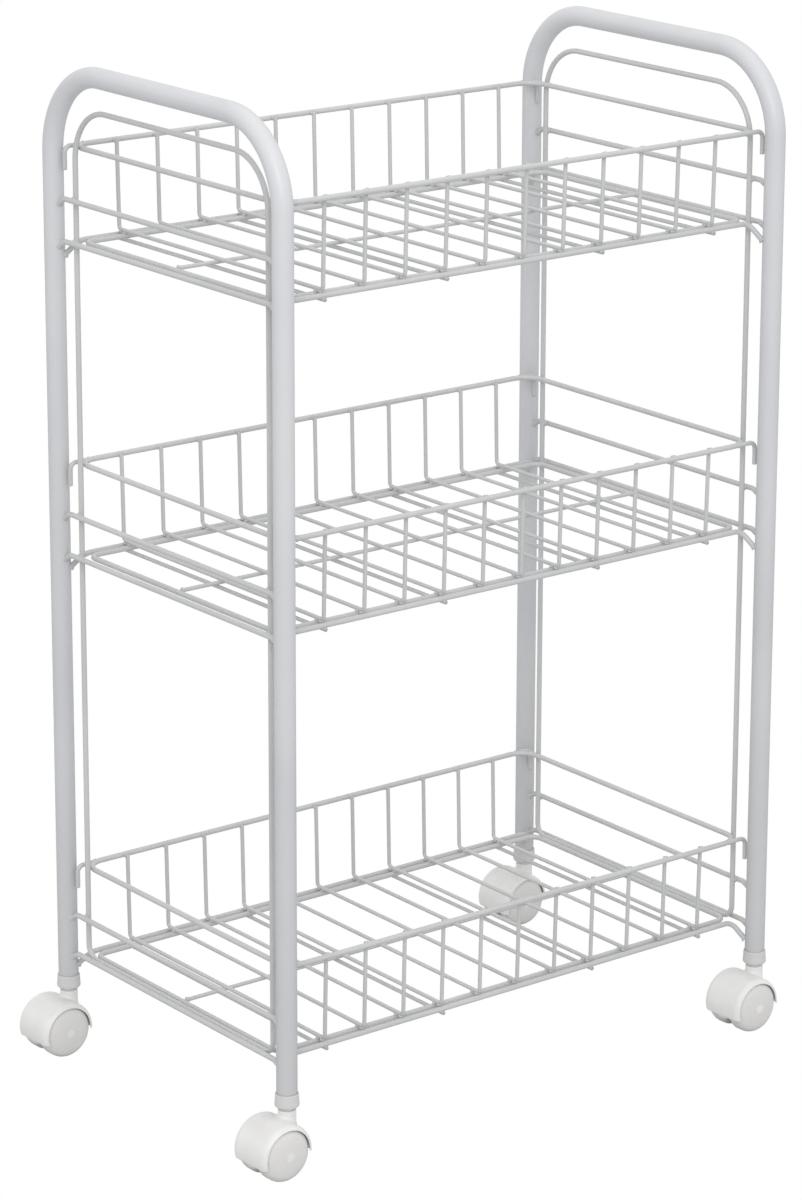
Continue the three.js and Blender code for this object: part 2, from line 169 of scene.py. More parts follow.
class Sketch:
    """Gathers the shells of one piece, with marks for exposed edges and for crevices; the crevice marks
    paint shade into the colour.
    """

    def __init__(self) -> None:
        self.places: list[Sequence[float]] = []
        self.faces: list[Sequence[int]] = []
        self.edge: list[float] = []
        self.crevice: list[float] = []

    def point(self, place: Vector, edge: float = 0.0, crevice: float = 0.0) -> int:
        """Adds one vertex and returns its number."""
        self.places.append(tuple(place))
        self.edge.append(edge)
        self.crevice.append(crevice)
        return len(self.places) - 1

    def ring(
        self,
        centre: Vector,
        frame_axes: tuple[Vector, Vector],
        radius: float,
        sides: int,
        marks: tuple[float, float] = (0.0, 0.0),
    ) -> list[int]:
        """Adds a ring of vertices.

        Args:
            centre: Middle of the ring.
            frame_axes: Two unit directions that span the ring's plane.
            radius: Radius of the ring.
            sides: Number of vertices.
            marks: Edge and crevice marks of its vertices.

        Returns:
            The numbers of its vertices.
        """
        first, second = frame_axes
        numbers = []
        for index in range(sides):
            angle = 2 * math.pi * index / sides
            spoke = first * math.cos(angle) + second * math.sin(angle)
            numbers.append(self.point(centre + spoke * radius, *marks))
        return numbers

    def bridge(self, first: Sequence[int], second: Sequence[int]) -> None:
        """Joins two rings with a band of faces."""
        count = len(first)
        for index in range(count):
            following = (index + 1) % count
            self.faces.append((first[index], first[following], second[following], second[index]))

    def fan(self, ring: Sequence[int], tip: int) -> None:
        """Closes a ring with faces that meet at one vertex."""
        count = len(ring)
        for index in range(count):
            self.faces.append((ring[index], ring[(index + 1) % count], tip))

    def _skin(self, rings: Sequence[Sequence[int]], tips: tuple[int, int] | None) -> None:
        """Covers a run of rings, closed by tips at its ends or else joined end to end."""
        for first, second in zip(rings, rings[1:]):
            self.bridge(first, second)
        if tips is None:
            self.bridge(rings[-1], rings[0])
            return
        self.fan(rings[0], tips[0])
        self.fan(rings[-1], tips[1])

    def wire(
        self,
        path: BentPath,
        radius: float,
        sides: int = 14,
        ends: tuple[WireEnd, WireEnd] = (WireEnd.CUT, WireEnd.CUT),
        bend_mark: float = 0.12,
    ) -> None:
        """Adds a round wire along a path.

        Args:
            path: The wire's centre line.
            radius: Radius of the wire.
            sides: Number of sides round it.
            ends: How its two ends stop, if the path is open.
            bend_mark: Edge mark on its bends.
        """
        directions = path.directions()
        stations = [
            (place, direction, radius, bent * bend_mark, 0.0)
            for place, direction, bent in zip(path.points, directions, path.bent)
        ]
        if not path.closed:
            head = self._end_stations(path.points[0], directions[0], radius, ends[0])
            tail = self._end_stations(path.points[-1], -directions[-1], radius, ends[1])
            turned_tail = [(place, -way, size, edge, gap) for place, way, size, edge, gap in tail]
            stations = head + stations[1:-1] + turned_tail[::-1]
        rings = []
        for place, direction, size, edge, crevice in stations:
            axes = (path.normal, direction.cross(path.normal).normalized())
            rings.append(self.ring(place, axes, size, sides, (edge, crevice)))
        if path.closed:
            self._skin(rings, None)
            return
        tips = [self.point(path.points[index], 1.0, 0.0) for index in (0, -1)]
        self._skin(rings, (tips[0], tips[1]))

    @staticmethod
    def _end_stations(
        place: Vector, inward: Vector, radius: float, end: WireEnd
    ) -> list[tuple[Vector, Vector, float, float, float]]:
        """Returns the stations that shape one end of a wire, from the end inwards."""
        return [
            (place + inward * (distance * MM), inward, radius + growth * MM, edge, crevice)
            for distance, growth, edge, crevice in end.value
        ]

    def bead(self, centre: Vector, normal: Vector, spread: float, height: float) -> None:
        """Adds a flattened weld bead.

        Args:
            centre: Middle of the bead, where the two wires touch.
            normal: Direction from one wire to the other.
            spread: Radius of the bead across the normal.
            height: Half of its height along the normal.
        """
        sides, bands = 12, 6
        first = normal.orthogonal().normalized()
        axes = (first, normal.cross(first).normalized())
        rings = []
        for band in range(1, bands):
            tilt = math.pi * band / bands - math.pi / 2
            place = centre + normal * (height * math.sin(tilt))
            rings.append(self.ring(place, axes, spread * math.cos(tilt), sides, (0.0, 1.0)))
        low = self.point(centre - normal * height, 0.0, 1.0)
        high = self.point(centre + normal * height, 0.0, 1.0)
        self._skin(rings, (low, high))

    def turned(self, outline: BentPath, origin: Vector, axis: Vector, sides: int) -> None:
        """Turns an outline round an axis.

        Args:
            outline: Points that hold radius and height. It is closed, or starts and ends on the axis.
            origin: Where the axis has height 0.
            axis: Unit direction of the axis.
            sides: Number of sides round it.
        """
        first = axis.orthogonal().normalized()
        axes = (first, axis.cross(first).normalized())
        rings, tips = [], []
        for place, bent in zip(outline.points, outline.bent):
            centre = origin + axis * place.y
            if place.x < 1e-7:
                tips.append(self.point(centre))
            else:
                rings.append(self.ring(centre, axes, place.x, sides, (bent, 0.0)))
        self._skin(rings, (tips[0], tips[1]) if tips else None)

    def shell(
        self, places: np.ndarray, faces: np.ndarray, edge: np.ndarray, crevice: np.ndarray
    ) -> None:
        """Adds a ready-made shell.

        Args:
            places: One row of x, y, z for each vertex.
            faces: One row of vertex numbers for each face.
            edge: Edge mark of each vertex.
            crevice: Crevice mark of each vertex.
        """
        start = len(self.places)
        self.places.extend(map(tuple, places.tolist()))
        self.faces.extend(map(tuple, (faces + start).tolist()))
        self.edge.extend(edge.tolist())
        self.crevice.extend(crevice.tolist())

    def piece(
        self,
        name: str,
        body: str,
        nodes: Sequence[str],
        material: bpy.types.Material,
        sharp: float = math.radians(50),
    ) -> bpy.types.Object:
        """Makes the object, and puts it in the place of CAD nodes.

        Args:
            name: Name of the piece.
            body: CAD body that it rides on.
            nodes: CAD nodes that it stands for.
            material: Its finish.
            sharp: Faces that meet at more than this angle keep a crisp edge.

        Returns:
            The object.
        """
        mesh = bpy.data.meshes.new(name)
        mesh.from_pydata(self.places, [], self.faces)
        work = bmesh.new()
        work.from_mesh(mesh)
        bmesh.ops.recalc_face_normals(work, faces=work.faces)
        for face in work.faces:
            face.smooth = True
        work.to_mesh(mesh)
        work.free()
        mesh.set_sharp_from_angle(angle=sharp)
        for mark, values in (("edge", self.edge), ("crevice", self.crevice)):
            mesh.attributes.new(mark, "FLOAT", "POINT").data.foreach_set("value", values)
        mesh.materials.append(material)
        made = bpy.data.objects.new(name, mesh)
        bpy.context.scene.collection.objects.link(made)
        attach(made, body)
        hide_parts(*nodes)
        log.info("%-34s %6d faces, for %s on %s", name, len(mesh.polygons), ", ".join(nodes), body)
        return made


def outline(corners: Iterable[tuple[float, float, float]], closed: bool = True) -> BentPath:
    """Makes the outline of a turned piece.

    Args:
        corners: Radius, height and bend of each corner, in millimetres.
        closed: Whether the last corner runs on to the first.

    Returns:
        The outline, in metres.
    """
    rows = [(Vector((radius, height, 0.0)) * MM, bend * MM) for radius, height, bend in corners]
    return BentPath(rows, closed, math.radians(20))


# ---- Moulded shapes, given as a signed distance and skinned -----------------------------------


def soft_least(first: np.ndarray, second: np.ndarray, blend: float) -> np.ndarray:
    """Returns the lesser of two distances, with a fillet of about blend where they meet."""
    share = np.clip(0.5 + 0.5 * (second - first) / blend, 0.0, 1.0)
    return second * (1 - share) + first * share - blend * share * (1 - share)


def soft_most(first: np.ndarray, second: np.ndarray, blend: float) -> np.ndarray:
    """Returns the greater of two distances, with a rounded edge of about blend where they meet."""
    return -soft_least(-first, -second, blend)


def drum(
    radial: np.ndarray, axial: np.ndarray, radius: float, reach: float, rounding: float
) -> np.ndarray:
    """Returns the distance to a drum with rounded rims.

    Args:
        radial: Distance of each place from the drum's axis.
        axial: Distance of each place from the drum's middle plane.
        radius: Radius of the drum.
        reach: Half of its width.
        rounding: Radius of its rims.
    """
    out = radial - (radius - rounding)
    side = axial - (reach - rounding)
    outside = np.hypot(np.maximum(out, 0.0), np.maximum(side, 0.0))
    return outside + np.minimum(np.maximum(out, side), 0.0) - rounding


class FieldSkin:
    """Skins a signed distance with even quads.

    Args:
        field: Gives the distance for rows of x, y, z.
        low: Lowest corner of the space to search.
        high: Highest corner of it.
        cell: Size of the search grid.
    """

    SETTLE_ROUNDS = 4

    def __init__(
        self,
        field: Callable[[np.ndarray], np.ndarray],
        low: Sequence[float],
        high: Sequence[float],
        cell: float,
    ) -> None:
        self.field = field
        self.cell = cell
        spans = [np.arange(start, stop + cell, cell) for start, stop in zip(low, high)]
        grid = np.stack(np.meshgrid(*spans, indexing="ij"), axis=-1)
        self.low = np.array(low, float)
        self.values = field(grid.reshape(-1, 3)).reshape(grid.shape[:3])
        self._number_cells()
        self.places = self._settled(self._first_places())
        self.faces = self._faces()

    def _corner(self, offset: Sequence[int]) -> np.ndarray:
        """Returns the values at one corner of every cell."""
        return self.values[
            tuple(slice(step, size - 1 + step) for step, size in zip(offset, self.values.shape))
        ]

    def _number_cells(self) -> None:
        """Numbers the cells that the surface passes through."""
        corners = [(a, b, c) for a in (0, 1) for b in (0, 1) for c in (0, 1)]
        filled = sum((self._corner(corner) < 0).astype(int) for corner in corners)
        self.crossed = np.argwhere((filled > 0) & (filled < len(corners)))
        self.number = np.full(filled.shape, -1)
        self.number[tuple(self.crossed.T)] = np.arange(len(self.crossed))

    def _first_places(self) -> np.ndarray:
        """Returns a vertex for each crossed cell, midway between its crossings."""
        total = np.zeros((len(self.crossed), 3))
        hits = np.zeros(len(self.crossed))
        picks = tuple(self.crossed.T)
        for axis in range(3):
            others = [other for other in range(3) if other != axis]
            for first in (0, 1):
                for second in (0, 1):
                    start = [0, 0, 0]
                    start[others[0]], start[others[1]] = first, second
                    stop = list(start)
                    stop[axis] = 1
                    near, far = self._corner(start)[picks], self._corner(stop)[picks]
                    cut = (near < 0) != (far < 0)
                    share = np.where(cut, near / np.where(cut, near - far, 1.0), 0.0)
                    spot = np.array(start, float) + share[:, None] * (np.array(stop) - np.array(start))
                    total += spot * cut[:, None]
                    hits += cut
        return self.low + (self.crossed + total / hits[:, None]) * self.cell

    def slope(self, places: np.ndarray) -> np.ndarray:
        """Returns the direction in which the distance grows at each place."""
        reach = self.cell / 5
        steps = np.eye(3) * reach
        return np.stack(
            [(self.field(places + step) - self.field(places - step)) / (2 * reach) for step in steps],
            axis=-1,
        )

    def _settled(self, places: np.ndarray) -> np.ndarray:
        """Moves the vertices on to the surface."""
        for _ in range(self.SETTLE_ROUNDS):
            slope = self.slope(places)
            steep = np.maximum((slope**2).sum(axis=1), 0.05)
            move = -slope * (self.field(places) / steep)[:, None]
            length = np.linalg.norm(move, axis=1)
            limit = np.minimum(1.0, 0.4 * self.cell / np.maximum(length, 1e-9))
            places = places + move * limit[:, None]
        return places

    def _faces(self) -> np.ndarray:
        """Returns a quad round each grid edge that the surface cuts."""
        filled = self.values < 0
        rows = []
        for axis in range(3):
            first, second = (axis + 1) % 3, (axis + 2) % 3
            span = [slice(None)] * 3
            span[axis] = slice(0, -1)
            ahead = [slice(None)] * 3
            ahead[axis] = slice(1, None)
            cut = np.argwhere(filled[tuple(span)] != filled[tuple(ahead)])
            inner = (cut[:, first] > 0) & (cut[:, second] > 0)
            cut = cut[inner]
            back_first = np.eye(3, dtype=int)[first]
            back_second = np.eye(3, dtype=int)[second]
            around = (cut, cut - back_first, cut - back_first - back_second, cut - back_second)
            rows.append(np.stack([self.number[tuple(cells.T)] for cells in around], axis=-1))
        return np.concatenate(rows)

    def bulge(self, reach: float) -> np.ndarray:
        """Returns how sharply the surface bends outwards at each vertex, in the field's units."""
        middle = self.field(self.places)
        total = np.zeros(len(self.places))
        for step in np.eye(3) * reach:
            total += self.field(self.places + step) + self.field(self.places - step) - 2 * middle
        return total / reach**2


# ---- Shader trees --------------------------------------------------------------------------


class Bench:
    """Adds and wires the nodes of one shader tree.

    Args:
        tree: The tree to work on.
    """

    def __init__(self, tree: bpy.types.NodeTree) -> None:
        self.tree = tree

    def add(self, kind: str, inputs: dict | None = None, **settings: object) -> bpy.types.Node:
        """Adds a node.

        Args:
            kind: Its type, without the leading ShaderNode.
            inputs: Links or plain values for its inputs, by name or number.
            **settings: Its other settings.

        Returns:
            The node.
        """
        node = self.tree.nodes.new("ShaderNode" + kind)
        for name, value in settings.items():
            setattr(node, name, value)
        for name, value in (inputs or {}).items():
            if isinstance(value, bpy.types.NodeSocket):
                self.tree.links.new(value, node.inputs[name])
            else:
                node.inputs[name].default_value = value
        return node

    def math(
        self, operation: str, first: object, second: object = 0.0, clamp: bool = False
    ) -> bpy.types.NodeSocket:
        """Returns the result of one sum."""
        node = self.add("Math", {0: first, 1: second}, operation=operation, use_clamp=clamp)
        return node.outputs[0]

    def noise(
        self, vector: object, scale: object, detail: float = 2.0, roughness: float = 0.5
    ) -> bpy.types.NodeSocket:
        """Returns smooth noise from 0 to 1."""
        inputs = {"Vector": vector, "Scale": scale, "Detail": detail, "Roughness": roughness}
        return self.add("TexNoise", inputs).outputs[0]

    def ramp(
        self, value: object, low: object, high: object, start: object = 0.0, stop: object = 1.0
    ) -> bpy.types.NodeSocket:
        """Returns value eased from start at low to stop at high."""
        inputs = {"Value": value, "From Min": low, "From Max": high, "To Min": start, "To Max": stop}
        return self.add("MapRange", inputs, interpolation_type="SMOOTHSTEP").outputs[0]

    def mix(self, share: object, first: object, second: object) -> bpy.types.NodeSocket:
        """Returns a mix of two colours."""
        node = self.add("Mix", {0: share, 6: first, 7: second}, data_type="RGBA")
        return node.outputs[2]

    def mark(self, name: str) -> bpy.types.NodeSocket:
        """Returns a mark that the mesh carries."""
        return self.add("Attribute", attribute_name=name).outputs["Fac"]


class Effect:
    """A named shader effect that several finishes share.

    Args:
        name: Name of the effect.
        inputs: Name, socket type and default of each input.
        outputs: Name and socket type of each output.
        fill: Draws the effect, from its inputs to its outputs.
    """

    def __init__(
        self,
        name: str,
        inputs: Sequence[tuple[str, str, object]],
        outputs: Sequence[tuple[str, str]],
        fill: Callable[[Bench, bpy.types.Node], dict],
    ) -> None:
        self.tree = bpy.data.node_groups.new(name, "ShaderNodeTree")
        for label, kind, default in inputs:
            socket = self.tree.interface.new_socket(
                label, in_out="INPUT", socket_type="NodeSocket" + kind
            )
            if default is not None:
                socket.default_value = default
        for label, kind in outputs:
            self.tree.interface.new_socket(label, in_out="OUTPUT", socket_type="NodeSocket" + kind)
        bench = Bench(self.tree)
        source = self.tree.nodes.new("NodeGroupInput")
        target = self.tree.nodes.new("NodeGroupOutput")
        for label, result in fill(bench, source).items():
            self.tree.links.new(result, target.inputs[label])

    def place(self, bench: Bench, **inputs: object) -> bpy.types.Node:
        """Puts the effect in a material.

        Args:
            bench: Bench of the material.
            **inputs: Values and links, with underscores for the spaces in their names.

        Returns:
            The group node.
        """
        node = bench.add("Group", node_tree=self.tree)
        for label, value in inputs.items():
            socket = node.inputs[label.replace("_", " ")]
            if isinstance(value, bpy.types.NodeSocket):
                bench.tree.links.new(value, socket)
            else:
                socket.default_value = value
        return node


def draw_drift(bench: Bench, source: bpy.types.Node) -> dict:
    """Draws slow colour drift with faint specks."""
    slow = bench.noise(source.outputs["Vector"], source.outputs["Scale"], 3.0)
    share = bench.ramp(slow, 0.3, 0.7)
    speck_scale = bench.math("MULTIPLY", source.outputs["Scale"], 60.0)
    speck = bench.ramp(bench.noise(source.outputs["Vector"], speck_scale, 1.0), 0.62, 0.78)
    speck_share = bench.math("MULTIPLY", speck, source.outputs["Speck"])
    drifted = bench.mix(share, source.outputs["Colour"], source.outputs["Deep Colour"])
    return {"Colour": bench.mix(speck_share, drifted, source.outputs["Deep Colour"])}


def draw_relief(bench: Bench, source: bpy.types.Node) -> dict:
    """Draws a fine relief: slow waves with finer grain on them."""
    wave = bench.noise(source.outputs["Vector"], source.outputs["Wave Scale"], 1.0)
    grain = bench.noise(source.outputs["Vector"], source.outputs["Grain Scale"], 2.0)
    share = bench.math("MULTIPLY", grain, source.outputs["Grain Share"])
    return {"Height": bench.math("ADD", wave, share), "Grain": grain}


def draw_wear(bench: Bench, source: bpy.types.Node) -> dict:
    """Draws wear that eats in from marked edges."""
    patchy = bench.noise(source.outputs["Vector"], source.outputs["Scale"], 4.0, 0.65)
    lifted = bench.math("ADD", bench.math("MULTIPLY", patchy, 0.9), source.outputs["Edge"])
    reach = bench.math("SUBTRACT", 1.55, source.outputs["Amount"])
    return {"Mask": bench.ramp(lifted, reach, bench.math("ADD", reach, 0.16))}


def draw_dust_and_crevice_shade(bench: Bench, source: bpy.types.Node) -> dict:
    """Draws dust that lies on level faces, and painted shade that darkens crevices."""
    upward = bench.add("SeparateXYZ", {0: bench.add("NewGeometry").outputs["Normal"]}).outputs[2]
    level = bench.ramp(upward, 0.45, 1.0)
    patchy = bench.ramp(
        bench.noise(source.outputs["Vector"], source.outputs["Scale"], 4.0), 0.32, 0.72
    )
    lying = bench.math("MULTIPLY", level, patchy)
    # Painted shade: crevices take the darker dust colour, standing in for the shade that falls there.
    crevice_shade = bench.math("MULTIPLY", source.outputs["Crevice"], 0.8)
    both = bench.math("MAXIMUM", lying, crevice_shade)
    return {"Mask": bench.math("MULTIPLY", both, source.outputs["Amount"], clamp=True)}


def draw_scuffs(bench: Bench, source: bpy.types.Node) -> dict:
    """Draws thin rubbed lines."""
    stretch = bench.add("Mapping", {"Vector": source.outputs["Vector"], "Scale": (1.0, 14.0, 14.0)})
    lines = bench.noise(stretch.outputs[0], source.outputs["Scale"], 3.0, 0.7)
    patches = bench.noise(
        source.outputs["Vector"], bench.math("MULTIPLY", source.outputs["Scale"], 0.5), 2.0
    )
    thin = bench.ramp(lines, 0.58, 0.66)
    shown = bench.math("MULTIPLY", thin, bench.ramp(patches, 0.45, 0.6))
    return {"Mask": bench.math("MULTIPLY", shown, source.outputs["Amount"], clamp=True)}


class Effects:
    """The shader effects that the finishes share."""

    def __init__(self) -> None:
        self.drift = Effect(
            "colour_drift",
            [
                ("Vector", "Vector", None),
                ("Scale", "Float", 12.0),
                ("Speck", "Float", 0.3),
                ("Colour", "Color", None),
                ("Deep Colour", "Color", None),
            ],
            [("Colour", "Color")],
            draw_drift,
        )
        self.relief = Effect(
            "fine_relief",
            [
                ("Vector", "Vector", None),
                ("Wave Scale", "Float", 500.0),
                ("Grain Scale", "Float", 2400.0),
                ("Grain Share", "Float", 0.3),
            ],
            [("Height", "Float"), ("Grain", "Float")],
            draw_relief,
        )
        self.wear = Effect(
            "edge_wear",
            [
                ("Vector", "Vector", None),
                ("Edge", "Float", 0.0),
                ("Scale", "Float", 900.0),
                ("Amount", "Float", 0.3),
            ],
            [("Mask", "Float")],
            draw_wear,
        )
        self.dust_and_shade = Effect(
            "dust_and_crevice_shade",
            [
                ("Vector", "Vector", None),
                ("Crevice", "Float", 0.0),
                ("Scale", "Float", 60.0),
                ("Amount", "Float", 0.3),
            ],
            [("Mask", "Float")],
            draw_dust_and_crevice_shade,
        )
        self.scuffs = Effect(
            "rubbed_lines",
            [("Vector", "Vector", None), ("Scale", "Float", 60.0), ("Amount", "Float", 0.3)],
            [("Mask", "Float")],
            draw_scuffs,
        )


Colour = tuple[float, float, float, float]


@dataclass(frozen=True)
class Finish:
    """A painted, moulded or plated surface."""

    name: str
    colour: Colour
    deep_colour: Colour
    worn_colour: Colour
    # Colour of dust and scuffs, also used as painted shade in crevices.
    dust_and_shade_colour: Colour = (0.50, 0.48, 0.45, 1.0)
    metallic: float = 0.0
    smooth_roughness: float = 0.36
    rough_roughness: float = 0.48
    worn_roughness: float = 0.35
    coat_weight: float = 0.0
    sheen_weight: float = 0.0
    drift_scale: float = 9.0
    speck: float = 0.25
    wave_scale: float = 520.0
    grain_scale: float = 2300.0
    grain_share: float = 0.25
    bump_strength: float = 0.5
    bump_height: float = 0.09
    wear_scale: float = 700.0
    wear_amount: float = 0.30
    dust_scale: float = 45.0
    dust_and_shade_amount: float = 0.16
    scuff_scale: float = 90.0
    scuff_amount: float = 0.1

    def material(self, effects: Effects) -> bpy.types.Material:
        """Builds the finish as a material.

        Args:
            effects: The effects that the finishes share.

        Returns:
            The material.
        """
        made = bpy.data.materials.new(self.name)
        made.use_nodes = True
        made.node_tree.nodes.clear()
        bench = Bench(made.node_tree)
        place = bench.add("TexCoord").outputs["Object"]
        drift = effects.drift.place(
            bench,
            Vector=place,
            Scale=self.drift_scale,
            Speck=self.speck,
            Colour=self.colour,
            Deep_Colour=self.deep_colour,
        )
        relief = effects.relief.place(
            bench,
            Vector=place,
            Wave_Scale=self.wave_scale,
            Grain_Scale=self.grain_scale,
            Grain_Share=self.grain_share,
        )
        wear = effects.wear.place(
            bench,
            Vector=place,
            Edge=bench.mark("edge"),
            Scale=self.wear_scale,
            Amount=self.wear_amount,
        ).outputs["Mask"]
        dust_and_shade = effects.dust_and_shade.place(
            bench,
            Vector=place,
            Crevice=bench.mark("crevice"),
            Scale=self.dust_scale,
            Amount=self.dust_and_shade_amount,
        ).outputs["Mask"]
        scuffs = effects.scuffs.place(
            bench, Vector=place, Scale=self.scuff_scale, Amount=self.scuff_amount
        )
        rubbed = bench.mix(scuffs.outputs["Mask"], drift.outputs["Colour"], self.dust_and_shade_colour)
        worn = bench.mix(wear, rubbed, self.worn_colour)
        # Dust on level faces, and painted shade in crevices, darken the colour here.
        shaded = bench.mix(dust_and_shade, worn, self.dust_and_shade_colour)
        rough = bench.ramp(
            relief.outputs["Grain"], 0.25, 0.75, self.smooth_roughness, self.rough_roughness
        )
        worn_rough = bench.add(
            "Mix", {0: wear, 2: rough, 3: self.worn_roughness}, data_type="FLOAT"
        ).outputs[0]
        dusty_rough = bench.math("ADD", worn_rough, bench.math("MULTIPLY", dust_and_shade, 0.35), clamp=True)
        chipped = bench.math("SUBTRACT", relief.outputs["Height"], bench.math("MULTIPLY", wear, 0.6))
        bump_inputs = {
            "Strength": self.bump_strength,
            "Distance": self.bump_height * MM,
            "Height": chipped,
        }
        bump = bench.add("Bump", bump_inputs)
        shader_inputs = {
            "Base Color": shaded,
            "Metallic": self.metallic,
            "Roughness": dusty_rough,
            "Normal": bump.outputs[0],
            "Coat Weight": self.coat_weight,
            "Coat Roughness": 0.25,
            "Sheen Weight": self.sheen_weight,
        }
        shader = bench.add("BsdfPrincipled", shader_inputs)
        bench.add("OutputMaterial", {"Surface": shader.outputs[0]})
        return made


class Finishes:
    """Every finish on the cart, as materials."""

    def __init__(self) -> None:
        effects = Effects()
        self.coat = Finish(
            name="satin_powder_coat",
            colour=(0.625, 0.632, 0.650, 1.0),
            deep_colour=(0.585, 0.594, 0.615, 1.0),
            worn_colour=(0.40, 0.405, 0.42, 1.0),
            coat_weight=0.12,
        ).material(effects)
        self.wire_coat = Finish(
            name="satin_powder_coat_on_wire",
            colour=(0.548, 0.552, 0.556, 1.0),
            deep_colour=(0.500, 0.505, 0.510, 1.0),
            worn_colour=(0.38, 0.385, 0.39, 1.0),
            wave_scale=900.0,
            bump_height=0.06,
            wear_amount=0.34,
            dust_and_shade_amount=0.3,
            coat_weight=0.1,
        ).material(effects)
        self.shell = Finish(
            name="moulded_caster_plastic",
            colour=(0.770, 0.768, 0.758, 1.0),
            deep_colour=(0.730, 0.727, 0.714, 1.0),
            worn_colour=(0.810, 0.808, 0.800, 1.0),
            smooth_roughness=0.38,
            rough_roughness=0.52,
            wave_scale=160.0,
            grain_scale=2600.0,
            grain_share=0.6,
            bump_height=0.07,
            drift_scale=35.0,
            wear_amount=0.18,
            dust_and_shade_amount=0.32,
            scuff_amount=0.14,
            sheen_weight=0.05,
        ).material(effects)
        self.wheel = Finish(
            name="moulded_wheel_plastic",
            colour=(0.775, 0.773, 0.763, 1.0),
            deep_colour=(0.735, 0.732, 0.720, 1.0),
            worn_colour=(0.670, 0.664, 0.648, 1.0),
            smooth_roughness=0.42,
            rough_roughness=0.58,
            wave_scale=200.0,
            grain_scale=2200.0,
            grain_share=0.7,
            drift_scale=40.0,
            wear_amount=0.3,
            dust_and_shade_amount=0.2,
            scuff_scale=120.0,
            scuff_amount=0.16,
        ).material(effects)
        self.socket = Finish(
            name="moulded_socket_plastic",
            colour=(0.600, 0.602, 0.606, 1.0),
            deep_colour=(0.570, 0.572, 0.576, 1.0),
            worn_colour=(0.56, 0.56, 0.56, 1.0),
            wave_scale=200.0,
            grain_scale=2400.0,
            bump_height=0.05,
            wear_amount=0.1,
            dust_and_shade_amount=0.12,
            scuff_amount=0.06,
        ).material(effects)
        self.steel = Finish(
            name="zinc_plated_steel",
            colour=(0.62, 0.63, 0.65, 1.0),
            deep_colour=(0.50, 0.51, 0.52, 1.0),
            worn_colour=(0.70, 0.70, 0.71, 1.0),
            metallic=1.0,
            smooth_roughness=0.24,
            rough_roughness=0.40,
            worn_roughness=0.2,
            drift_scale=120.0,
            scuff_amount=0.35,
        ).material(effects)


# ---- End frames ----------------------------------------------------------------------------


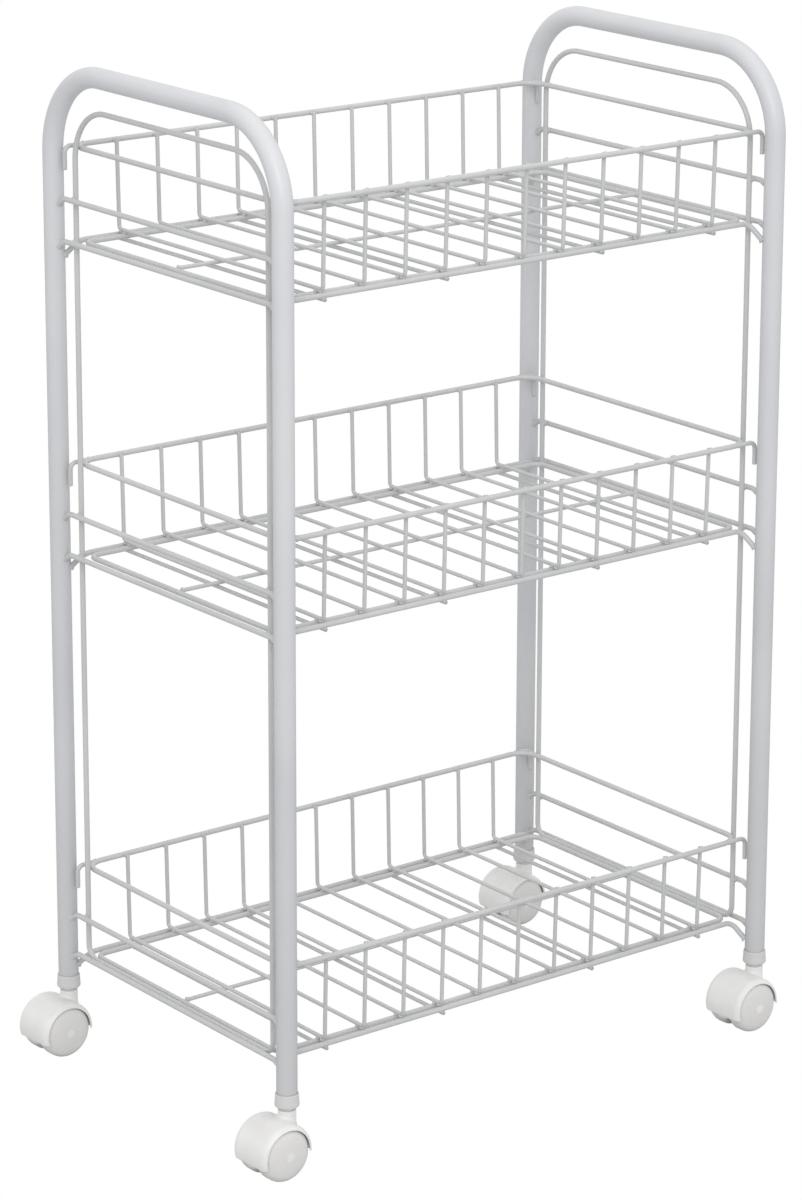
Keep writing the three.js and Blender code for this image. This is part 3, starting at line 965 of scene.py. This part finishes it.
@dataclass
class EndFrame:
    """A bent tube, the wire loop inside it, and the rungs that tie the two together."""

    side: str
    tube_radius: float = 7.5 * MM
    bore_radius: float = 6.3 * MM
    bore_depth: float = 27.0 * MM
    foot_lip: float = 0.35 * MM
    handle_bend: float = 60.0 * MM
    wire_radius: float = 2.0 * MM
    wire_reach: float = 1.73 * MM
    loop_top_bend: float = 38.0 * MM
    loop_foot_bend: float = 10.0 * MM
    rung_drop: float = 3.0 * MM
    rung_run: float = 6.0 * MM
    rung_bend: float = 4.0 * MM
    rung_bite: float = 1.8 * MM
    rung_end_slant: float = 0.5 * MM
    weld_spread: float = 2.7 * MM
    weld_height: float = 1.5 * MM

    def __post_init__(self) -> None:
        """Finds where the frame stands."""
        self.sign = SIDES[self.side]
        low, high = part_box(f"{self.side}_handle_tube")
        self.x = (low.x + high.x) / 2
        self.y = (low.y + high.y) / 2
        self.reach_y = (high.y - low.y) / 2 - self.tube_radius
        self.foot_z = low.z
        self.top_z = high.z - self.tube_radius

    def build(self, finishes: Finishes) -> None:
        """Builds the tube, the loop and the rungs.

        Args:
            finishes: The cart's finishes.
        """
        self._tube(finishes.coat)
        heights = [self._rung(level, kind, finishes) for level in LEVELS for kind in ("guard", "floor")]
        self._loop(heights, finishes.wire_coat)

    def _tube(self, material: bpy.types.Material) -> None:
        """Builds the handle tube, with a blind bore up each foot for the stem socket."""
        front, back = self.y - self.reach_y, self.y + self.reach_y
        path = BentPath(
            [
                (Vector((self.x, front, self.foot_z)), 0.0),
                (Vector((self.x, front, self.top_z)), self.handle_bend),
                (Vector((self.x, back, self.top_z)), self.handle_bend),
                (Vector((self.x, back, self.foot_z)), 0.0),
            ],
            step=math.radians(4),
        )
        lip = self.foot_lip
        foot = (
            (self.bore_depth, self.bore_radius, 0.0, 1.0),
            (lip, self.bore_radius, 0.5, 0.0),
            (0.0, self.bore_radius + lip, 1.0, 0.0),
            (0.0, self.tube_radius - lip, 1.0, 0.0),
            (lip, self.tube_radius, 0.6, 0.0),
        )
        sides = 48
        sketch = Sketch()
        axes = [(ALONG, way.cross(ALONG).normalized()) for way in path.directions()]
        rings = []
        for height, radius, edge, crevice in foot:
            rings.append(
                sketch.ring(path.points[0] + UP * height, axes[0], radius, sides, (edge, crevice))
            )
        for place, pair, bent in zip(path.points[1:-1], axes[1:-1], path.bent[1:-1]):
            rings.append(sketch.ring(place, pair, self.tube_radius, sides, (0.1 * bent, 0.0)))
        for height, radius, edge, crevice in foot[::-1]:
            rings.append(
                sketch.ring(path.points[-1] + UP * height, axes[-1], radius, sides, (edge, crevice))
            )
        tips = [sketch.point(path.points[end] + UP * self.bore_depth) for end in (0, -1)]
        for first, second in zip(rings, rings[1:]):
            sketch.bridge(first, second)
        sketch.fan(rings[0], tips[0])
        sketch.fan(rings[-1], tips[1])
        node = f"{self.side}_handle_tube"
        sketch.piece(f"handle_{self.side}", "frame", [node], material)

    def _rung(self, level: str, kind: str, finishes: Finishes) -> float:
        """Builds one rung and returns its height."""
        node = f"{self.side}_{level}_{kind}_rung"
        low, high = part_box(node)
        z = high.z - self.wire_reach
        end_y = (high.y - low.y) / 2 - self.rung_end_slant
        bend_y = end_y - self.rung_run
        reach_y = end_y + self.rung_bite
        fall = self.rung_drop * (1 + self.rung_bite / self.rung_run)
        path = BentPath(
            [
                (Vector((self.x, self.y - reach_y, z - fall)), 0.0),
                (Vector((self.x, self.y - bend_y, z)), self.rung_bend),
                (Vector((self.x, self.y + bend_y, z)), self.rung_bend),
                (Vector((self.x, self.y + reach_y, z - fall)), 0.0),
            ]
        )
        sketch = Sketch()
        sketch.wire(path, self.wire_radius, ends=(WireEnd.MELTED, WireEnd.MELTED))
        sketch.piece(
            f"rung_{self.side}_{level}_{kind}", "frame", [node], finishes.wire_coat
        )
        return z

    def _loop(self, rung_heights: Sequence[float], material: bpy.types.Material) -> None:
        """Builds the wire loop with a weld bead at each rung."""
        node = f"{self.side}_wire_loop"
        low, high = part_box(node)
        x = (low.x + high.x) / 2
        half_y = (high.y - low.y) / 2 - self.wire_reach
        top, foot = high.z - self.wire_reach, low.z + self.wire_reach
        front, back = self.y - half_y, self.y + half_y
        path = BentPath(
            [
                (Vector((x, front, top)), self.loop_top_bend),
                (Vector((x, back, top)), self.loop_top_bend),
                (Vector((x, back, foot)), self.loop_foot_bend),
                (Vector((x, front, foot)), self.loop_foot_bend),
            ],
            closed=True,
            step=math.radians(5),
        )
        sketch = Sketch()
        sketch.wire(path, self.wire_radius)
        weld_x = (x + self.x) / 2
        for z in rung_heights:
            spread_y = half_y if abs(z - foot) > self.wire_radius else half_y - 2 * self.loop_foot_bend
            for face in FACES.values():
                place = Vector((weld_x, self.y + face * spread_y, z))
                sketch.bead(place, ALONG, self.weld_spread, self.weld_height)
        sketch.piece(f"loop_{self.side}", "frame", [node], material)


# ---- Baskets -------------------------------------------------------------------------------


@dataclass
class Basket:
    """A rim with corner hooks, a floor frame with braces, and the grid of U-shaped wires."""

    level: str
    heavy: float = 2.0 * MM
    hook: float = 1.7 * MM
    light: float = 1.5 * MM
    flat_reach: float = 1.73 * MM
    rim_inset: float = 5.6 * MM
    rim_bend: float = 16.0 * MM
    hook_run: float = 31.0 * MM
    hook_bend: float = 5.0 * MM
    hook_drop: float = 17.0 * MM
    hook_weld_run: float = 6.0 * MM
    floor_x: float = 210.8 * MM
    floor_y: float = 114.5 * MM
    floor_bend: float = 9.0 * MM
    rail_y: float = 122.3 * MM
    brace_knee_x: float = 209.5 * MM
    brace_tip_x: float = 213.4 * MM
    brace_tip_y: float = 130.6 * MM
    brace_drop: float = 9.0 * MM
    brace_bend: float = 8.0 * MM
    brace_bite: float = 4.0 * MM
    bar_overhang: float = 2.6 * MM
    bar_bite: float = 0.7 * MM
    bar_slots: tuple[int, ...] = (-5, -2, 2, 5)
    wire_count: int = 11
    wire_pitch: float = 35.0 * MM
    wire_bend: float = 3.0 * MM
    wire_foot_y: float = 122.0 * MM
    wire_gap: float = 0.3 * MM
    wire_rise: float = 1.2 * MM
    weld_growth: float = 0.75 * MM
    weld_height: float = 1.3 * MM

    def __post_init__(self) -> None:
        """Finds where the basket hangs."""
        low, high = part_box(f"{self.level}_basket_rim")
        self.centre = Vector(((low.x + high.x) / 2, (low.y + high.y) / 2, 0.0))
        self.hook_x = (high.x - low.x) / 2 - self.hook
        self.rim_x = self.hook_x - self.rim_inset
        self.rim_y = (high.y - low.y) / 2 - self.flat_reach
        self.rim_z = high.z - self.heavy
        self.rail_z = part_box(f"{self.level}_basket_floor_frame")[1].z - self.heavy
        self.floor_z = self.rail_z + self.heavy + self.light + self.wire_gap
        self.wire_top_y = self.rim_y - self.heavy - self.light - self.wire_gap
        self.slots = [(index - (self.wire_count - 1) / 2) for index in range(self.wire_count)]

    def at(self, x: float, y: float, z: float) -> Vector:
        """Returns a place counted from the middle of the basket and from the floor."""
        return self.centre + Vector((x, y, z))

    def build(self, finishes: Finishes) -> None:
        """Builds the rim, the floor frame and the grid.

        Args:
            finishes: The cart's finishes.
        """
        self._rim(finishes.wire_coat)
        self._floor_frame(finishes.wire_coat)
        self._grid(finishes.wire_coat)

    def _ring(self, half_x: float, half_y: float, z: float, bend: float) -> BentPath:
        """Returns a level ring with rounded corners."""
        corners = [(half_x, -half_y), (half_x, half_y), (-half_x, half_y), (-half_x, -half_y)]
        return BentPath([(self.at(x, y, z), bend) for x, y in corners], closed=True)

    def _bead(self, sketch: Sketch, place: Vector, normal: Vector, radius: float) -> None:
        """Adds a weld bead where a wire of that radius crosses another."""
        sketch.bead(place, normal, radius + self.weld_growth, self.weld_height)

    def _rim(self, material: bpy.types.Material) -> None:
        """Builds the rim with a hook at each corner."""
        sketch = Sketch()
        sketch.wire(self._ring(self.rim_x, self.rim_y, self.rim_z, self.rim_bend), self.heavy)
        weld_x = self.rim_x - self.rim_bend + self.hook_weld_run
        for side in SIDES.values():
            for face in FACES.values():
                y = face * self.rim_y
                path = BentPath(
                    [
                        (self.at(side * (self.hook_x - self.hook_run), y, self.rim_z), 0.0),
                        (self.at(side * self.hook_x, y, self.rim_z), self.hook_bend),
                        (self.at(side * self.hook_x, y, self.rim_z - self.hook_drop), 0.0),
                    ]
                )
                sketch.wire(path, self.hook)
                self._bead(sketch, self.at(side * weld_x, y, self.rim_z), ACROSS, self.hook)
        sketch.piece(f"rim_{self.level}", "frame", [f"{self.level}_basket_rim"], material)

    def _floor_frame(self, material: bpy.types.Material) -> None:
        """Builds the floor ring, the rails with their braces, and the cross bars."""
        sketch = Sketch()
        sketch.wire(self._ring(self.floor_x, self.floor_y, self.rail_z, self.floor_bend), self.heavy)
        for face in FACES.values():
            tips, knees = [], []
            for side in SIDES.values():
                knee = self.at(side * self.brace_knee_x, face * self.rail_y, self.rail_z)
                tip = self.at(
                    side * self.brace_tip_x,
                    face * self.brace_tip_y,
                    self.rail_z - self.brace_drop,
                )
                tips.append(tip + (tip - knee).normalized() * self.brace_bite)
                knees.append(knee)
            corners = [
                (tips[0], 0.0),
                (knees[0], self.brace_bend),
                (knees[1], self.brace_bend),
                (tips[1], 0.0),
            ]
            sketch.wire(BentPath(corners), self.heavy, ends=(WireEnd.MELTED, WireEnd.MELTED))
        bar_z = self.rail_z - self.heavy - self.light + self.bar_bite
        weld_z = self.rail_z - self.heavy
        for slot in self.bar_slots:
            x = slot * self.wire_pitch
            reach = self.rail_y + self.bar_overhang
            ends = [(self.at(x, -reach, bar_z), 0.0), (self.at(x, reach, bar_z), 0.0)]
            sketch.wire(BentPath(ends), self.light)
            for y in (self.floor_y, self.rail_y):
                for face in FACES.values():
                    self._bead(sketch, self.at(x, face * y, weld_z), UP, self.light)
        node = f"{self.level}_basket_floor_frame"
        sketch.piece(f"floor_frame_{self.level}", "frame", [node], material)

    def _grid(self, material: bpy.types.Material) -> None:
        """Builds the U-shaped wires and the runner that ties them under the middle."""
        sketch = Sketch()
        top_z = self.rim_z + self.wire_rise
        runner_z = self.floor_z - 2 * self.light + self.bar_bite
        for slot in self.slots:
            x = slot * self.wire_pitch
            path = BentPath(
                [
                    (self.at(x, -self.wire_top_y, top_z), 0.0),
                    (self.at(x, -self.wire_foot_y, self.floor_z), self.wire_bend),
                    (self.at(x, self.wire_foot_y, self.floor_z), self.wire_bend),
                    (self.at(x, self.wire_top_y, top_z), 0.0),
                ]
            )
            sketch.wire(path, self.light)
            for face in FACES.values():
                rim_weld_y = face * (self.wire_top_y + self.light)
                self._bead(sketch, self.at(x, rim_weld_y, self.rim_z), ACROSS, self.light)
                for y in (self.floor_y, self.rail_y - self.wire_bend):
                    weld_z = self.floor_z - self.light
                    self._bead(sketch, self.at(x, face * y, weld_z), UP, self.light)
            self._bead(sketch, self.at(x, 0.0, self.floor_z - self.light), UP, self.light)
        reach = self.floor_x - self.heavy - 2 * self.wire_gap
        runner = [(self.at(-reach, 0.0, runner_z), 0.0), (self.at(reach, 0.0, runner_z), 0.0)]
        sketch.wire(BentPath(runner), self.light)
        for side in SIDES.values():
            self._bead(sketch, self.at(side * reach, 0.0, runner_z), ALONG, self.light)
        sketch.piece(f"grid_{self.level}", "frame", [f"{self.level}_basket_grid"], material)


# ---- Casters -------------------------------------------------------------------------------


class CasterShell:
    """Moulded housing of a caster, in millimetres from its swivel axis, trailing towards -X."""

    TRAIL = 12.5
    AXLE_Z = 20.0
    HOOD_RADIUS = 22.2
    HOOD_REACH = 19.0
    HOOD_ROUNDING = 5.5
    WALL = 1.3
    HOOD_EDGE_Z = 16.2
    HOOD_EDGE_SLOPE = math.tan(math.radians(7.0))
    SIDE_OPENING = 18.9
    WEB_REACH = 3.6
    WEB_RADIUS = 21.55
    WEB_FOOT_Z = 11.0
    NECK_RADIUS = 6.5
    NECK_SHOULDER_Z = 46.8
    NECK_TIP_RADIUS = 5.0
    NECK_TOP_Z = 48.7
    STEM_HOLE = 3.3
    STEM_HOLE_FOOT_Z = 41.5
    AXLE_HOLE = 2.7
    LOW = (-37.0, -21.0, 9.0)
    HIGH = (14.0, 21.0, 50.0)
    CELL = 0.6
    EDGE_BULGE = (0.55, 1.6)

    def field(self, places: np.ndarray) -> np.ndarray:
        """Returns the distance of each place from the housing's surface, less than 0 inside.

        Args:
            places: Rows of x, y, z.
        """
        x, y, z = places.T
        radial = np.hypot(x + self.TRAIL, z - self.AXLE_Z)
        aside = np.abs(y)
        hood = drum(radial, aside, self.HOOD_RADIUS, self.HOOD_REACH, self.HOOD_ROUNDING)
        hollow = drum(
            radial,
            aside,
            self.HOOD_RADIUS - self.WALL,
            self.HOOD_REACH - self.WALL,
            self.HOOD_ROUNDING - self.WALL,
        )
        opening = np.maximum(radial - self.SIDE_OPENING, self.WEB_REACH - aside)
        pocket = soft_most(soft_least(hollow, opening, 0.8), self.WEB_REACH - aside, 1.0)
        rim_z = self.HOOD_EDGE_Z + self.HOOD_EDGE_SLOPE * (x + self.TRAIL)
        cap = soft_most(soft_most(hood, -pocket, 0.8), rim_z - z, 0.8)
        web = soft_most(
            np.maximum(radial - self.WEB_RADIUS, aside - self.WEB_REACH), self.WEB_FOOT_Z - z, 1.2
        )
        body = soft_least(cap, web, 1.0)
        spread = np.hypot(x, y)
        neck = soft_most(spread - self.NECK_RADIUS, z - self.NECK_SHOULDER_Z, 0.9)
        neck = np.minimum(neck, np.maximum(spread - self.NECK_TIP_RADIUS, z - self.NECK_TOP_Z))
        neck = np.maximum(neck, self.HOOD_RADIUS - 1.0 - radial)
        whole = soft_least(body, neck, 3.2)
        stem_hole = np.maximum(spread - self.STEM_HOLE, self.STEM_HOLE_FOOT_Z - z)
        return np.maximum(np.maximum(whole, -stem_hole), self.AXLE_HOLE - radial)

    def skin(self) -> tuple[np.ndarray, np.ndarray, np.ndarray, np.ndarray]:
        """Returns the housing's vertices, faces, edge marks and crevice marks."""
        made = FieldSkin(self.field, self.LOW, self.HIGH, self.CELL)
        bulge = made.bulge(0.5)
        low, high = self.EDGE_BULGE
        edge = np.clip((bulge - low) / (high - low), 0.0, 1.0)
        crevice = np.clip((-bulge - low / 2) / high, 0.0, 1.0)
        return made.places, made.faces, edge, crevice


@dataclass
class Caster:
    """A stem socket, a swivelling housing on a stem, and two wheels on an axle."""

    side: str
    face: str
    turned_sides: int = 64
    wheel_outline: tuple[tuple[float, float, float], ...] = (
        (0.0, 16.0, 0.0),
        (2.7, 16.0, 0.0),
        (2.7, 4.6, 0.3),
        (5.2, 4.6, 0.4),
        (6.0, 5.6, 0.4),
        (14.5, 5.6, 0.6),
        (15.5, 4.6, 0.5),
        (18.0, 4.6, 1.0),
        (20.0, 6.8, 1.2),
        (20.0, 13.4, 6.0),
        (18.3, 16.6, 5.0),
        (15.4, 18.4, 6.0),
        (10.6, 19.4, 30.0),
        (5.0, 19.95, 45.0),
        (0.0, 20.15, 0.0),
    )
    socket_outline: tuple[tuple[float, float, float], ...] = (
        (3.3, 49.0, 0.4),
        (8.1, 49.0, 0.5),
        (8.8, 50.0, 0.6),
        (8.75, 52.0, 2.0),
        (8.5, 54.0, 2.5),
        (8.4, 58.4, 0.4),
        (7.6, 59.0, 0.15),
        (7.6, 51.0, 0.3),
        (5.9, 51.0, 0.5),
        (5.9, 75.0, 0.6),
        (3.3, 75.0, 0.4),
    )
    stem_outline: tuple[tuple[float, float, float], ...] = (
        (0.0, 41.8, 0.0),
        (3.0, 41.8, 0.5),
        (3.0, 64.0, 0.2),
        (2.5, 64.4, 0.2),
        (2.5, 66.2, 0.2),
        (3.0, 66.6, 0.2),
        (3.0, 72.0, 0.6),
        (2.2, 73.0, 0.4),
        (0.0, 73.0, 0.0),
    )
    axle_outline: tuple[tuple[float, float, float], ...] = (
        (0.0, -15.7, 0.0),
        (1.9, -15.7, 0.2),
        (2.4, -15.2, 0.3),
        (2.4, 15.2, 0.3),
        (1.9, 15.7, 0.2),
        (0.0, 15.7, 0.0),
    )

    def __post_init__(self) -> None:
        """Finds the swivel axis and the axle from the joints."""
        self.place = f"{self.face}_{self.side}"
        joints = {row["name"]: row for row in frame["joints"]}
        swivel = Vector(joints[f"{self.place}_swivel"]["pos_m"])
        spin = joints[f"{self.place}_front_wheel_spin"]
        self.foot = Vector((swivel.x, swivel.y, 0.0))
        self.axle_middle = Vector(spin["pos_m"])
        self.axle_way = Vector(spin["axis"]).normalized()

    def build(self, shell: tuple[np.ndarray, ...], finishes: Finishes) -> None:
        """Builds the socket, the housing, the stem, the axle and the wheels.

        Args:
            shell: Vertices, faces, edge marks and crevice marks of the housing.
            finishes: The cart's finishes.
        """
        body = f"{self.place}_caster"
        self._turned(
            "stem_socket", self.socket_outline, self.foot, UP, "frame", Slot.PLASTIC, finishes.socket
        )
        self._turned("caster_stem", self.stem_outline, self.foot, UP, body, Slot.STEEL, finishes.steel)
        axle = (self.axle_middle, self.axle_way)
        self._turned("caster_axle", self.axle_outline, *axle, body, Slot.STEEL, finishes.steel)
        for wheel, way in (("front_wheel", -self.axle_way), ("back_wheel", self.axle_way)):
            wheel_body = f"{self.place}_{wheel}"
            self._turned(
                wheel,
                self.wheel_outline,
                self.axle_middle,
                way,
                wheel_body,
                Slot.PLASTIC,
                finishes.wheel,
            )
        self._housing(shell, body, finishes.shell)

    def _turned(
        self,
        part: str,
        corners: Sequence[tuple[float, float, float]],
        origin: Vector,
        axis: Vector,
        body: str,
        slot: Slot,
        material: bpy.types.Material,
    ) -> None:
        """Builds a turned part in the place of its CAD node.

        Args:
            part: What the CAD node's name ends with.
            corners: Radius, height and bend of each corner of its outline, in millimetres.
            origin: Where its axis has height 0.
            axis: Direction of its axis.
            body: CAD body that it rides on.
            slot: Its material slot; not used.
            material: Its finish.
        """
        on_axis = corners[0][0] == 0.0
        sketch = Sketch()
        sketch.turned(outline(corners, not on_axis), origin, axis, self.turned_sides)
        node = f"{self.place}_{part}"
        sketch.piece(f"turned_{node}", body, [node], material, math.radians(35))

    def _housing(self, shell: tuple[np.ndarray, ...], body: str, material: bpy.types.Material) -> None:
        """Builds the housing, turned so that it trails over its axle."""
        places, faces, edge, crevice = shell
        trail = (self.foot - self.axle_middle).to_2d().normalized()
        turn = np.array([[trail.x, -trail.y, 0.0], [trail.y, trail.x, 0.0], [0.0, 0.0, 1.0]])
        moved = places @ turn.T * MM + np.array(self.foot)
        sketch = Sketch()
        sketch.shell(moved, faces, edge, crevice)
        node = f"{self.place}_caster_housing"
        sketch.piece(f"moulded_{node}", body, [node], material)


# ---- Studio --------------------------------------------------------------------------------


@dataclass
class Studio:
    """The camera, a pale floor and soft lights."""

    camera_place: tuple[float, float, float] = (-1.83155, -2.36315, 1.26846)
    camera_heading: float = 0.9119
    camera_fall: float = 0.2641
    camera_roll: float = 0.0025
    camera_shift: float = -0.125
    lens: float = 127.79
    floor_reach: float = 30.0
    floor_colour: Colour = (0.62, 0.62, 0.62, 1.0)
    sky_strength: float = 0.92

    def build(self) -> None:
        """Builds the camera, the floor, the sky and the lights."""
        self._camera()
        self._floor()
        self._sky()
        target = Vector((0.0, 0.0, 0.4))
        self._softbox("key_light", Vector((-1.5, -2.1, 2.0)), target, 1.6, 27.0)
        self._softbox("top_light", Vector((0.2, -0.2, 2.8)), target, 2.2, 8.0)
        scene = bpy.context.scene
        scene.view_settings.view_transform = "Standard"

    def _camera(self) -> None:
        """Adds the camera."""
        data = bpy.data.cameras.new("camera")
        data.lens = self.lens
        data.shift_y = self.camera_shift
        data.clip_start = 0.05
        data.clip_end = 100.0
        made = bpy.data.objects.new("camera", data)
        bpy.context.scene.collection.objects.link(made)
        level = Vector((math.cos(self.camera_heading), math.sin(self.camera_heading), 0.0))
        forward = level * math.cos(self.camera_fall) - UP * math.sin(self.camera_fall)
        right = forward.cross(UP).normalized()
        up = right.cross(forward)
        roll = Matrix.Rotation(-self.camera_roll, 3, forward)
        right, up = roll @ right, roll @ up
        turn = Matrix((right, up, -forward)).transposed().to_4x4()
        made.matrix_world = Matrix.Translation(Vector(self.camera_place)) @ turn
        bpy.context.scene.camera = made

    def _floor(self) -> None:
        """Adds a pale floor that lights the cart from below and looks plain white itself."""
        reach = self.floor_reach
        corners = [
            (-reach, -reach, 0.0),
            (reach, -reach, 0.0),
            (reach, reach, 0.0),
            (-reach, reach, 0.0),
        ]
        mesh = bpy.data.meshes.new("floor")
        mesh.from_pydata(corners, [], [(0, 1, 2, 3)])
        material = bpy.data.materials.new("pale_floor")
        material.use_nodes = True
        material.node_tree.nodes.clear()
        bench = Bench(material.node_tree)
        lit = bench.add("BsdfPrincipled", {"Base Color": self.floor_colour, "Roughness": 0.9})
        plain = bench.add("Emission", {"Color": (1.0, 1.0, 1.0, 1.0), "Strength": 1.0})
        seen = bench.add("LightPath").outputs["Is Camera Ray"]
        mixed = bench.add("MixShader", {0: seen, 1: lit.outputs[0], 2: plain.outputs[0]})
        bench.add("OutputMaterial", {"Surface": mixed.outputs[0]})
        mesh.materials.append(material)
        made = bpy.data.objects.new("floor", mesh)
        bpy.context.scene.collection.objects.link(made)

    def _sky(self) -> None:
        """Lights the scene evenly from all round, and looks plain white itself."""
        world = bpy.data.worlds.new("studio")
        world.use_nodes = True
        world.node_tree.nodes.clear()
        bench = Bench(world.node_tree)
        seen = bench.add("LightPath").outputs["Is Camera Ray"]
        strength = bench.ramp(seen, 0.0, 1.0, self.sky_strength, 1.0)
        sky = bench.add("Background", {"Color": (1.0, 1.0, 1.0, 1.0), "Strength": strength})
        bench.add("OutputWorld", {"Surface": sky.outputs[0]})
        bpy.context.scene.world = world

    @staticmethod
    def _softbox(name: str, place: Vector, target: Vector, size: float, power: float) -> None:
        """Adds a square soft light.

        Args:
            name: Name of the light.
            place: Where it stands.
            target: Where it points.
            size: Length of its sides.
            power: Its power in watts.
        """
        data = bpy.data.lights.new(name, "AREA")
        data.size = size
        data.energy = power
        made = bpy.data.objects.new(name, data)
        made.location = place
        made.rotation_euler = (target - place).to_track_quat("-Z", "Y").to_euler()
        bpy.context.scene.collection.objects.link(made)


def main() -> None:
    """Builds the cart and its studio."""
    logging.basicConfig(level=logging.INFO, format="%(name)s: %(message)s")
    Studio().build()
    finishes = Finishes()
    for side in SIDES:
        EndFrame(side).build(finishes)
    for level in LEVELS:
        Basket(level).build(finishes)
    shell = CasterShell().skin()
    for face in FACES:
        for side in SIDES:
            Caster(side, face).build(shell, finishes)


if __name__ == "__main__":
    main()
